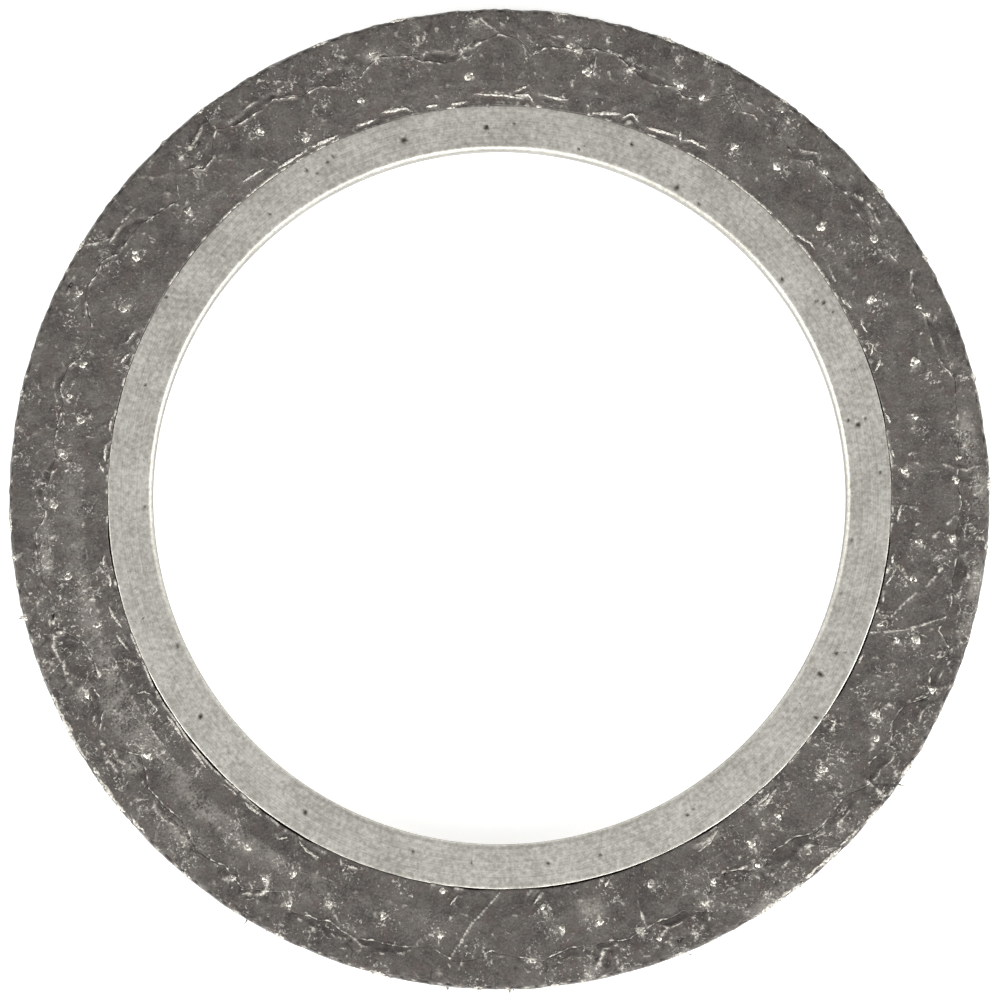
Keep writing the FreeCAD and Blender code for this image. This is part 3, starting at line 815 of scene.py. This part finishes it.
def rimSide(angles, rim, upperEdgeHeight, lowerEdgeHeight):  # the rounded edges and the side between them
    bends = np.radians(np.linspace(90, 0, fold["edgeRows"] + 1)[1:])[:, None]
    edgeRadius = rim - fold["edgeRadius"] * (1 - np.cos(bends))
    upperEdge = upperEdgeHeight - fold["edgeRadius"] * (1 - np.sin(bends))
    lowerEdge = lowerEdgeHeight - fold["edgeRadius"] * (1 - np.sin(bends))
    share = np.linspace(0, 1, fold["wallRows"] + 2)[1:-1, None]
    wallHeight = upperEdge[-1] + (-lowerEdge[-1] - upperEdge[-1]) * share
    radius = np.concatenate([edgeRadius, rim + 0 * wallHeight, edgeRadius[::-1]])
    height = np.concatenate([upperEdge, wallHeight, -lowerEdge[::-1]])
    around = angles + 0 * radius
    atEdge = smoothStep(np.abs(height), *fold["edgeStart"])
    lumps = softNoise(around, radius, height, fold["lumpSize"], 51) - 0.1
    lumps += atEdge * softNoise(around, radius, height, fold["fineLumpSize"], 52)
    lumps -= 0.8 * atEdge * creaseNoise(around, radius, height, fold["creaseSize"], 53)
    relief = fold["ragged"] * lumps
    # a slight painted shade darkens the rim's side, more at its edges
    form = formOf(relief) * (0.25 + 0.75 * atEdge) - 0.25 - 0.05 * atEdge
    return np.minimum(radius + relief, rimRadius + fold["proudest"]), height, np.clip(form, -1, 1)


def foldedTurn(upper, lower, upperMarks, lowerMarks):  # upper and lower: a seam's route and its lenses
    angles = np.linspace(0, 2 * math.pi, fold["columns"], endpoint=False)
    flat = 0 * angles
    upperRoute = seamRoute(angles, upper[0], 11)
    lowerRoute = seamRoute(angles, lower[0], 23)
    rim = rimRadius - fold["outOfRound"] * (1 - np.cos(angles - math.radians(fold["widestAt"]))) / 2
    rows = fold["bandRows"]
    upperRadius, upperHeight, upperForm = foldFace(
        angles, upperRoute, upper[1], upperMarks, rim, rows[0], 11)
    lowerRadius, lowerHeight, lowerForm = foldFace(
        angles, lowerRoute, lower[1], lowerMarks, rim, rows[1], 23)
    sideRadius, sideHeight, sideForm = rimSide(angles, rim, upperHeight[-1], lowerHeight[-1])
    (least, seat), insideRim, insideTop = fold["underSeam"], fold["insideRim"] + flat, fold["insideTop"]
    # The ring is closed by a wall that the core hides
    closing = [(np.maximum(lowerRoute + 0.05, least), flat - seat), (insideRim, flat - insideTop),
               (insideRim, flat + insideTop), (np.maximum(upperRoute + 0.05, least), flat + seat)]
    radius = np.concatenate([upperRadius, sideRadius, lowerRadius[::-1], np.stack([r for r, z in closing])])
    height = np.concatenate([upperHeight, sideHeight, -lowerHeight[::-1], np.stack([z for r, z in closing])])
    hidden = np.full((len(closing), fold["columns"]), -1.0)
    form = np.concatenate([upperForm, sideForm, lowerForm[::-1], hidden])
    around = angles + 0 * radius
    scuff = scuffAndHighlightAround(around, radius) * (height > 1)
    fray = np.where(height > 0, placesAround(around, radius, upperMarks["fray"], press["fraySize"]),
                    placesAround(around, radius, lowerMarks["fray"], press["fraySize"]))
    marks = {"form": form, "scuff": scuff, "fray": fray}
    piece = addRing("foldedTurn", angles, radius, height, graphiteFoil, marks)
    return piece, (angles, upperRadius, upperHeight), (angles, lowerRadius, -lowerHeight)


upperSeam = (seam["route"], seam["lenses"])
lowerSeam = chanceRoute(seam["undersideLobes"])
lowerFrays = [(dice.uniform(0, 360), dice.uniform(400, 486)) for _ in range(marksRead["undersideFrays"])]
count = marksRead["undersideFolds"]
foldStarts = zip(dice.uniform(0, 356, count), dice.uniform(400, 480, count))
chanceFolds = [tuple((degrees + 1.2 * step, pixels + dice.uniform(-6, 6)) for step in range(4))
               for degrees, pixels in foldStarts]
flakeShades = [tuple((degrees, pixels - 3.4) for degrees, pixels in route) for route in flakes["beside"]]
flakeShades += list(marksRead["hollows"])
crestPlaces = [(degrees, (wire["bandMiddle"] + offset) / photoPixel, 0.3)
               for degrees, offset in wire["stitches"]]
crestPlaces += [(degrees, pixels, 0.2) for degrees, pixels in wire["strays"]]
mounds = [((degrees - half, pixels), (degrees + half, pixels)) for degrees, pixels, half in crestPlaces]
roughPlaces = [(dice.normal(middle, spread), dice.uniform(402, 487))
               for middle, spread in marksRead["roughStretches"] for _ in range(marksRead["roughEach"])]
upperMarks = {
    "foldLine": marksRead["folds"], "boldFold": marksRead["boldFolds"],
    "flakeRoot": flakes["beside"], "flakeShade": flakeShades, "mound": mounds,
    "roughCurl": chanceCurls(roughPlaces, 4, 0), "fineCurl": chanceCurls(marksRead["frays"], 11, 750),
    "curl": chanceCurls(marksRead["frays"], 4, 250), "boldCurl": chanceCurls(marksRead["frays"], 1, 30),
    "scratch": marksRead["scratches"], "fray": list(marksRead["frays"]) + roughPlaces,
}
lowerMarks = {
    "foldLine": chanceFolds, "fineCurl": chanceCurls(lowerFrays, 8, 1000),
    "curl": chanceCurls(lowerFrays, 5, 250), "boldCurl": chanceCurls(lowerFrays, 1, 30),
    "scratch": (((41, 455), (43.5, 402)), ((198, 400), (203, 450))), "fray": lowerFrays,
}
upperCore, upperCoreFace = coreHalf("pressedCoreUpper", core["columns"][0], core["faceRows"][0],
                                    upperSeam[0], upperMarks, 100, 11, 1)
lowerCore, lowerCoreFace = coreHalf("pressedCoreLower", core["columns"][1], core["faceRows"][1],
                                    lowerSeam[0], lowerMarks, 250, 23, -1)
turnPiece, upperTurnFace, lowerTurnFace = foldedTurn(upperSeam, lowerSeam, upperMarks, lowerMarks)
for piece in (upperCore, lowerCore, turnPiece):
    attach(piece, "root")
    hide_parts("graphite_ring")
    print("graphite:", piece.name, len(piece.data.polygons), "faces")


# Steel eyelet

eyelet = {
    "columns": 1400, "wallRows": 5, "bendRows": 7, "flangeRows": 16, "lipRows": 3,
    "bend": 0.3, "sheet": 0.2, "insideBend": 0.1, "lip": 0.07, "wallEnd": 0.2,  # mm
    "flangeRange": (-0.1, 0.2),  # mm from the end of the bend, where the flange's own marks set in
    "wave": 0.012, "waveSize": 4.0, "smallWaveSize": 1.2,  # mm: how uneven the flange is, and over how far
    "pitDepth": 0.03, "pitGrain": 0.16, "pitShare": 0.62,
    "dust": 0.72, "dustReach": 0.06, "dustSize": 2.4,  # painted shade darkening the bore wall
    # Where a painted highlight lies along the lip: first and last degree, the degrees it fades over, and mm
    # from the lip
    "polishedLip": ((30, 48), (196, 240), (256, 262), (296, 347)),
    "polishFade": 6, "polishRange": (-0.068, -0.03),
    "nibble": 0.02, "nibbleSize": 2.5, "nibbleReach": 0.2,  # mm that the lip is uneven by
    # Pits on the upper flange: degrees round the ring, photograph pixels from its middle, and size in mm
    "pits": (
        (4, 381, 0.12), (12.4, 375, 0.14), (11.7, 366, 0.24), (12.7, 357, 0.14), (20.3, 385, 0.12),
        (29.3, 382, 0.13), (31.2, 378, 0.16), (32.0, 373, 0.18), (37.9, 357, 0.24), (56, 355, 0.14),
        (60.4, 357, 0.3), (69.6, 377, 0.2), (77.2, 357, 0.14), (87.8, 374, 0.12), (92.0, 371, 0.26),
        (104.9, 370, 0.3), (117, 377, 0.16), (115.9, 380, 0.13), (120.4, 380, 0.17), (119.2, 371, 0.12),
        (128.9, 365, 0.13), (138.5, 368, 0.12), (148.8, 389, 0.17), (162.2, 372, 0.13), (181.2, 355, 0.15),
        (198.5, 377, 0.1), (204.5, 354, 0.22), (216.0, 371, 0.26), (238.2, 370, 0.2), (256.2, 365, 0.16),
        (265.6, 366, 0.13), (277.6, 369, 0.15), (285.8, 371, 0.13), (300.8, 369, 0.16), (302, 366, 0.14),
        (307.0, 352, 0.2), (325.4, 385, 0.2), (331.4, 366, 0.3), (335.4, 371, 0.22), (336.1, 380, 0.12),
        (344.6, 353, 0.24), (353.4, 354, 0.2),
    ),
    "undersidePits": 30,
}


def pitDepth(angles, radius, pits, seed):  # 1 in the middle of a pit, falling to 0 round it
    depth = np.zeros_like(radius)
    uneven = 1 + 0.5 * faceNoise(angles, radius, eyelet["pitGrain"], seed)
    for degrees, pixels, size in pits:
        near = np.abs(turnFrom(angles[0], degrees)) < 2
        along = radius[:, near] * np.radians(turnFrom(angles[:, near], degrees))
        away = np.hypot(radius[:, near] - pixels * photoPixel, along)
        reach = eyelet["pitShare"] * size * uneven[:, near]
        depth[:, near] = np.maximum(depth[:, near], np.exp(-(away / reach) ** 4))
    return depth


def eyeletSection():  # radius and height, from the wall's middle, up and over the flange to under its lip
    bend, lip, sheet = eyelet["bend"], eyelet["lip"], eyelet["sheet"]
    bendReach, bendHeight = boreRadius + bend, flangeTop - bend
    section = [(boreRadius, share * bendHeight) for share in np.linspace(0.08, 1, eyelet["wallRows"])]
    for turn in np.radians(np.linspace(0, 90, eyelet["bendRows"] + 1))[1:]:
        section.append((bendReach - bend * math.cos(turn), bendHeight + bend * math.sin(turn)))
    for reach in np.linspace(bendReach, lipRadius - lip, eyelet["flangeRows"] + 1)[1:]:
        section.append((reach, flangeTop))
    for turn in np.radians(np.linspace(0, 90, eyelet["lipRows"] + 1))[1:]:
        section.append((lipRadius - lip * (1 - math.sin(turn)), flangeTop - lip * (1 - math.cos(turn))))
    inside = sheet + eyelet["insideBend"]
    section += [(lipRadius - 0.01, flangeTop - sheet), (boreRadius + inside, flangeTop - sheet),
                (boreRadius + sheet, flangeTop - inside), (boreRadius + sheet, eyelet["wallEnd"])]
    return np.array(section).T[:, :, None]


def eyeletHalf(angles, pits, seed):
    radius, height = (values + 0 * angles for values in eyeletSection())
    around = angles + 0 * radius
    above = height > flangeTop - eyelet["sheet"]
    flangeStart = boreRadius + eyelet["bend"]
    low, high = eyelet["flangeRange"]
    onFlange = smoothStep(radius, flangeStart + low, flangeStart + high) * above
    pit = pitDepth(around, radius, pits, seed) * onFlange
    wave = faceNoise(around, radius, eyelet["waveSize"], seed) - 0.4
    wave += 0.3 * faceNoise(around, radius, eyelet["smallWaveSize"], seed + 1)
    # painted shade: the bore wall and the start of the bend are darkened through the pit mark
    dusty = eyelet["dust"] * smoothStep(boreRadius - radius, -eyelet["dustReach"], 0)
    dusty = dusty * (0.9 + 0.25 * softNoise(around, radius, height, eyelet["dustSize"], seed + 3))
    pit = np.maximum(pit, dusty)
    # painted highlight on the lip, in the stretches that face the light
    degrees, fade = np.degrees(around), eyelet["polishFade"]
    shine = sum(smoothStep(degrees, first, first + fade) * smoothStep(-degrees, -last, fade - last)
                for first, last in eyelet["polishedLip"])
    low, high = eyelet["polishRange"]
    shine = shine * smoothStep(radius, lipRadius + low, lipRadius + high) * above
    height += onFlange * np.minimum(eyelet["wave"] * wave, 0) - eyelet["pitDepth"] * pit * onFlange
    nibbled = 1 - smoothStep(faceNoise(around, radius, eyelet["nibbleSize"], seed + 2), -0.5, 0.2)
    radius -= eyelet["nibble"] * (radius > lipRadius - eyelet["nibbleReach"]) * nibbled
    return radius + asideAt(angles), height, pit, np.clip(shine, 0, 1)


def rolledEyelet():
    angles = np.linspace(0, 2 * math.pi, eyelet["columns"], endpoint=False)
    lowerPits = [(dice.uniform(0, 360), dice.uniform(356, 386), dice.uniform(0.1, 0.26))
                 for _ in range(eyelet["undersidePits"])]
    upperRadius, upperHeight, upperPitAndShade, upperLipHighlight = eyeletHalf(angles, eyelet["pits"], 61)
    lowerRadius, lowerHeight, lowerPitAndShade, lowerLipHighlight = eyeletHalf(angles, lowerPits, 67)
    radius = np.concatenate([upperRadius, lowerRadius[::-1]])
    height = np.concatenate([upperHeight, -lowerHeight[::-1]])
    marks = {"pit": np.concatenate([upperPitAndShade, lowerPitAndShade[::-1]]),
             "shine": np.concatenate([upperLipHighlight, lowerLipHighlight[::-1]])}
    return addRing("rolledEyelet", angles, radius, height, stainlessSheet, marks)


eyeletPiece = rolledEyelet()
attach(eyeletPiece, "root")
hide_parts("steel_eyelet")
print("eyelet made:", len(eyeletPiece.data.polygons), "faces")


# Strips of wire and foil

strip = {
    "corners": 8,  # round its section
    "twist": 18,  # degrees that its lean changes by towards the ends, at most
    "taper": (0.88, 2.2),  # how much thinner its ends are, and how suddenly
    "wideSpread": (0.65, 1.25), "highSpread": (0.75, 1.2),
}


def addStrips(name, strips, material):  # each strip: path, two half widths, lean in degrees, face normal
    corners, points, faces = strip["corners"], [], []
    turns = np.arange(corners) * 2 * math.pi / corners
    thinning, suddenness = strip["taper"]
    for path, halfWidth, halfHeight, lean, normal in strips:
        path = np.array(path)
        steps = len(path)
        along = np.gradient(path, axis=0)
        along /= np.linalg.norm(along, axis=1)[:, None]
        side = np.cross(along, normal)
        side /= np.linalg.norm(side, axis=1)[:, None]
        up = np.cross(side, along)
        twist = dice.uniform(-strip["twist"], strip["twist"])
        lean = np.radians(lean + np.linspace(-1, 1, steps) * twist)[:, None]
        flat, upright = side * np.cos(lean) + up * np.sin(lean), up * np.cos(lean) - side * np.sin(lean)
        taper = 1 - thinning * np.abs(np.linspace(-1, 1, steps)) ** suddenness
        wide = halfWidth * taper * dice.uniform(*strip["wideSpread"], steps)
        high = halfHeight * taper * dice.uniform(*strip["highSpread"], steps)
        first = len(points)
        for step in range(steps):
            broad, thick = flat[step] * wide[step], upright[step] * high[step]
            points += [path[step] + broad * math.cos(turn) + thick * math.sin(turn) for turn in turns]
        for here in range(first, first + (steps - 1) * corners, corners):
            for corner in range(corners):
                after = (corner + 1) % corners
                faces.append((here + corner, here + after, here + corners + after, here + corners + corner))
        last = first + (steps - 1) * corners
        faces.append(tuple(range(first + corners - 1, first - 1, -1)))
        faces.append(tuple(range(last, last + corners)))
    # a form of 1 makes foil strips pale: burnished, and partly painted highlight; the wire's material
    # doesn't read it
    return addPiece(name, np.array(points), faces, material, {"form": np.ones(len(points))})


def heightAt(faces, x, y):  # of the folded turn at a place, or of the core inside the seam
    turn, reach = math.atan2(y, x) % (2 * math.pi), math.hypot(x, y)
    for angles, radius, height in faces:
        column = round(turn / (2 * math.pi) * len(angles)) % len(angles)
        if reach >= radius[0, column]:
            break
    return float(np.interp(reach, radius[:, column], height[:, column]))


upperFaces = [upperTurnFace, upperCoreFace]
lowerFaces = [lowerTurnFace, lowerCoreFace]


# Knitted wire: crests that the die has bared

def scatter(number, share):  # a repeatable value from -1 to 1 for each number, evenly spread
    return 2 * (number * share % 1) - 1


def crestStrips(faces, degrees, reach, turn, size):  # worn knuckles, whose legs dive under the foil
    side = 1 if faces is upperFaces else -1
    middle = reach * np.array([math.cos(math.radians(degrees)), math.sin(math.radians(degrees))])
    strips = []
    for number in range(wire["knuckles"]):
        heading = math.radians(degrees + 90 + turn) + dice.normal(0, 0.25)
        forward = np.array([math.cos(heading), math.sin(heading)])
        across = np.array([-math.sin(heading), math.cos(heading)])
        shift = forward * dice.uniform(-0.2, 0.1) + across * dice.uniform(-0.16, 0.16)
        shift = size * shift * min(number, 1)
        splay = math.radians(wire["legSplay"] + dice.uniform(-5, 30))
        reduced = size * (1 if number == 0 else dice.uniform(0.35, 0.7))
        path = []
        for share in np.linspace(-1, 1, wire["steps"]):
            leg = reduced * wire["legLength"] * abs(share) ** 1.5
            place = middle + shift + forward * (0.15 * size - leg * math.cos(splay))
            place = place + across * np.sign(share) * leg * math.sin(splay)
            height = side * heightAt(faces, *place) + wire["stand"] - 0.05 - wire["dive"] * share ** 2
            height += dice.uniform(-0.012, 0.012)
            path.append((*place, side * min(height, faceTop - 0.062)))
        halfWidth = reduced * wire["halfWidth"] * dice.uniform(0.75, 1.25)
        strips.append((path, halfWidth, wire["halfHeight"], dice.uniform(-22, 22), (0, 0, side)))
    return strips


def rimStrip(number):  # a stitch on the rim, pointing up or down
    turn = 2 * math.pi * number / wire["rimStitches"]
    lift = wire["rimSway"] * scatter(number, silverShare)
    tilt = math.radians(wire["turn"] * scatter(number, goldenShare))
    splay = math.radians(wire["legSplay"])
    path = []
    for share in np.linspace(-1, 1, wire["steps"]):
        leg = wire["legLength"] * abs(share) ** 1.3
        up, along = 0.25 - leg * math.cos(splay), np.sign(share) * leg * math.sin(splay)
        up, along = (up * math.cos(tilt) - along * math.sin(tilt),
                     up * math.sin(tilt) + along * math.cos(tilt))
        reach = rimRadius - 0.045 - 0.07 * share ** 2
        around = turn + along / reach
        path.append((reach * math.cos(around), reach * math.sin(around), lift + up))
    return path, wire["halfWidth"], 0.06, 0, (math.cos(turn), math.sin(turn), 0)


def wireEnd(degrees, pixels, hook):  # a thin broken end that curls out of the rim's upper edge
    turn, reach, height = math.radians(degrees), rimRadius - 0.15, dice.uniform(1.5, 1.9)
    heading, step = turn + dice.uniform(-0.3, 0.3), (pixels * photoPixel - rimRadius + 0.2) / 6
    place, path = np.array([reach * math.cos(turn), reach * math.sin(turn)]), []
    for _ in range(8):
        path.append((*place, height))
        place = place + step * np.array([math.cos(heading), math.sin(heading)])
        heading, height = heading + hook / 4, height + 0.02
    return path, 0.045, 0.04, 0, (0, 0, 1)


def wireCrests():
    strips = []
    for number, (degrees, offset) in enumerate(wire["stitches"]):
        turn = wire["turn"] * scatter(number, goldenShare)
        for faces, turned in ((upperFaces, degrees), (lowerFaces, degrees + wire["undersideTurn"])):
            strips += crestStrips(faces, turned, wire["bandMiddle"] + offset, turn, dice.uniform(0.9, 1.35))
    for degrees, pixels in wire["strays"]:
        below = degrees + wire["undersideTurn"] + wire["strayTurn"]
        for faces, turned in ((upperFaces, degrees), (lowerFaces, below)):
            turn, size = dice.uniform(-180, 180), dice.uniform(0.6, 1.15)
            strips += crestStrips(faces, turned, pixels * photoPixel, turn, size)
    strips += [rimStrip(number) for number in range(wire["rimStitches"])]
    strips += [wireEnd(*end) for end in wire["ends"]]
    return addStrips("wireCrests", strips, stainlessWire)


wirePiece = wireCrests()
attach(wirePiece, "root")
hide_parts("knitted_wire")
print("wire made:", len(wirePiece.data.polygons), "faces")


# Foil flakes: torn edges of the foil, turned up along the eyelet's lip and round the rim

def besideStrip(faces, route, halfWidth):  # stands up from the face along a route
    side = 1 if faces is upperFaces else -1
    places = np.array([onFace(*place) for place in route])
    length = np.concatenate([[0], np.cumsum(np.hypot(*np.diff(places, axis=0).T))])
    reached = np.linspace(0, length[-1], flakes["steps"])
    bow, path = dice.uniform(-0.06, 0.06), []
    along = [np.interp(reached, length, places[:, axis]) for axis in (0, 1)]
    for share, x, y in zip(reached / length[-1], *along):
        arch = math.sin(math.pi * share)
        outward = 1 + (bow * arch + dice.normal(0, 0.012)) / math.hypot(x, y)
        x, y = x * outward, y * outward
        height = side * heightAt(faces, x, y) + 0.035 * arch + dice.uniform(-0.01, 0.015)
        path.append((x, y, side * min(height, faceTop - 0.08)))
    return path, halfWidth, flakes["halfHeight"], side * dice.uniform(10, 40), (0, 0, side)


def rimFlake(first, last, side):  # lies along the rim's edge
    bold = any(low < first < high for low, high in flakes["boldRim"]) and side > 0
    sunk, halfWidth = flakes["boldPiece"] if bold else flakes["plainPiece"]
    inwards, path = dice.uniform(0.02, 0.16) if bold else 0, []
    for degrees in np.linspace(first, last, flakes["steps"]):
        turn, reach = math.radians(degrees), rimRadius - inwards - dice.uniform(0.03, 0.11)
        height = faceTop - dice.uniform(*sunk)
        path.append((reach * math.cos(turn), reach * math.sin(turn), side * height))
    return path, dice.uniform(*halfWidth), flakes["halfHeight"], side * dice.uniform(-25, 5), (0, 0, side)


def foilFlakes():
    strips = []
    for route in flakes["beside"]:
        long = abs(route[-1][0] - route[0][0]) > 2.2
        halfWidth = dice.uniform(0.075, 0.11) if long else dice.uniform(0.055, 0.085)
        strips.append(besideStrip(upperFaces, route, halfWidth))
    for degrees in dice.uniform(0, 360, flakes["undersideCount"]):
        length, pixels = dice.uniform(0.8, 4), dice.uniform(396, 404)
        middle = (degrees + length / 2, pixels + dice.uniform(-1, 3))
        route = ((degrees, pixels), middle, (degrees + length, pixels))
        strips.append(besideStrip(lowerFaces, route, dice.uniform(0.05, 0.1)))
    for first, last in flakes["rim"]:
        strips.append(rimFlake(first, last, 1))
        strips.append(rimFlake(first + flakes["undersideTurn"], last + flakes["undersideTurn"], -1))
    return addStrips("foilFlakes", strips, graphiteFoil)


flakePiece = foilFlakes()
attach(flakePiece, "root")
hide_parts("graphite_ring")
print("flakes made:", len(flakePiece.data.polygons), "faces")


# Floor, light and camera

stage = {
    "floorSize": 1.2, "paperColour": "#f4f4f2", "glow": 0.5,
    # The tent's strength, from low to overhead and from front to back
    "steepRange": (0.25, 0.95, 1.3, 0.57), "frontRange": (-0.8, 0.8, 1.3, 0.7),
    # Square soft lamps: place in metres and power in watts
    "lampSize": 0.3,
    "lamps": {
        "sideLampLeft": ((-0.36, -0.12, 0.26), 1.1), "sideLampRight": ((0.36, -0.14, 0.26), 1.1),
        "frontLamp": ((0.03, -0.40, 0.30), 1.2),
    },
    "lens": 900, "sensor": 36, "photoMiddle": (499.5, 499.0), "photoSize": 1000,
    "aside": (-5, -24),  # mm that the camera stands off the bore's axis, so that the far wall just shows
}


def paperFloor():
    # White seamless paper: plain white to the camera and in reflections, and it keeps the ring's shadow.
    material, tree = newMaterial("whitePaper")
    paths = addNode(tree, "ShaderNodeLightPath").outputs
    seen = reckoned(tree, "MAXIMUM", paths["Is Camera Ray"], paths["Is Glossy Ray"])
    paper = addNode(tree, "ShaderNodeBsdfDiffuse", {}, {"Color": linear(stage["paperColour"])}).outputs[0]
    glow = addNode(tree, "ShaderNodeEmission", {}, {"Color": linear("#ffffff"), "Strength": stage["glow"]})
    both = addNode(tree, "ShaderNodeAddShader", {}, {0: paper, 1: glow.outputs[0]})
    mixed = addNode(tree, "ShaderNodeMixShader", {}, {0: seen, 1: paper, 2: both.outputs[0]})
    addNode(tree, "ShaderNodeOutputMaterial", {}, {"Surface": mixed.outputs[0]})
    half = stage["floorSize"] / 2 / mm
    corners = [(x * half, y * half, -faceTop) for x, y in ((-1, -1), (1, -1), (1, 1), (-1, 1))]
    return addPiece("floor", np.array(corners), [(0, 1, 2, 3)], material)


def addLamp(name, place, power):  # aimed at the ring
    light = bpy.data.lights.new(name, "AREA")
    light.size = stage["lampSize"]
    light.energy = power
    lamp = bpy.data.objects.new(name, light)
    lamp.location = place
    lamp.rotation_euler = (-Vector(place)).to_track_quat("-Z", "Y").to_euler()
    bpy.context.scene.collection.objects.link(lamp)


def softTent():  # white to the camera, and brighter at the sides than overhead, as in a light tent
    world = bpy.data.worlds.new("softTent")
    world.use_nodes = True
    tree = world.node_tree
    tree.nodes.clear()
    direction = addNode(tree, "ShaderNodeTexCoord").outputs["Generated"]
    split = addNode(tree, "ShaderNodeSeparateXYZ", {}, {0: direction}).outputs
    steep = ranged(tree, split["Z"], *stage["steepRange"])
    front = ranged(tree, split["Y"], *stage["frontRange"])
    strength = reckoned(tree, "MULTIPLY", steep, front)
    around = addNode(tree, "ShaderNodeBackground", {}, {"Color": linear("#ffffff"), "Strength": strength})
    white = addNode(tree, "ShaderNodeBackground", {}, {"Color": linear("#ffffff"), "Strength": 1.0})
    camera = addNode(tree, "ShaderNodeLightPath").outputs["Is Camera Ray"]
    mixed = addNode(tree, "ShaderNodeMixShader", {}, {0: camera, 1: around.outputs[0], 2: white.outputs[0]})
    addNode(tree, "ShaderNodeOutputWorld", {}, {"Surface": mixed.outputs[0]})
    bpy.context.scene.world = world


def overheadCamera():  # straight down, as the photograph was taken
    data = bpy.data.cameras.new("overhead")
    data.lens = stage["lens"]
    data.sensor_width = stage["sensor"]
    data.clip_start = 0.01
    width = stage["photoSize"] * photoPixel * mm
    distance = width * stage["lens"] / stage["sensor"]
    middle = stage["photoSize"] / 2
    aim = Vector((middle - stage["photoMiddle"][0], stage["photoMiddle"][1] - middle, 0)) * photoPixel * mm
    back = Vector((stage["aside"][0] * mm, stage["aside"][1] * mm, distance)).normalized()
    right = Vector((0, 1, 0)).cross(back).normalized()
    camera = bpy.data.objects.new("overhead", data)
    camera.location = aim + Vector((0, 0, faceTop * mm)) + back * distance
    camera.rotation_euler = Matrix((right, back.cross(right), back)).transposed().to_euler()
    bpy.context.scene.collection.objects.link(camera)
    bpy.context.scene.camera = camera


paperFloor()
softTent()
for name, (place, power) in stage["lamps"].items():
    addLamp(name, place, power)
overheadCamera()
bpy.context.scene.view_settings.view_transform = "Standard"
print("stage set")
